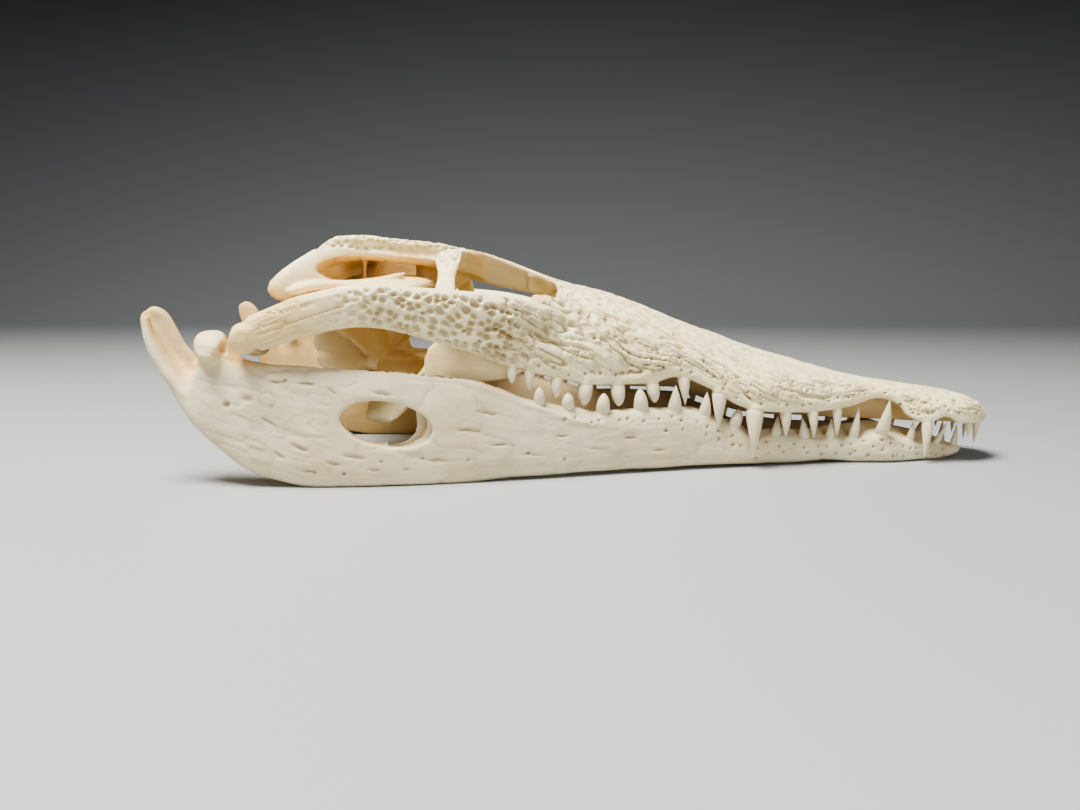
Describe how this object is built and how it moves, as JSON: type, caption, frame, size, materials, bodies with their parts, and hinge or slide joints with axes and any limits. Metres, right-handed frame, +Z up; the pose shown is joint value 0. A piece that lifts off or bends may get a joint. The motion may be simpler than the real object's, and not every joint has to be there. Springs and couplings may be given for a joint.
{
  "type": "crocodile skull",
  "caption": "Cleaned skull of a young slender-snouted crocodile, jaws closed, resting on its lower jaw; a still display model.",
  "frame": {"origin": "middle of the bounding box, on the level that the lower jaw rests on", "axes": "+X towards the snout tip, +Y towards the animal's left, +Z up"},
  "size_m": [0.28, 0.1226, 0.0774],
  "materials": {
    "bone": "dry cleaned bone, matt, cream white",
    "warm_bone": "dry cleaned bone, matt, ochre",
    "jaw_bone": "dry cleaned bone, matt, greyer cream"
  },
  "bodies": {
    "root": {"snout": "bone", "brow": "bone", "skull_table": "bone", "braincase": "warm_bone", "palate": "warm_bone", "cheek_right": "bone", "cheek_left": "bone", "quadrate_right": "warm_bone", "quadrate_left": "warm_bone", "lower_jaw_right": "jaw_bone", "lower_jaw_left": "jaw_bone"}
  },
  "joints": []
}
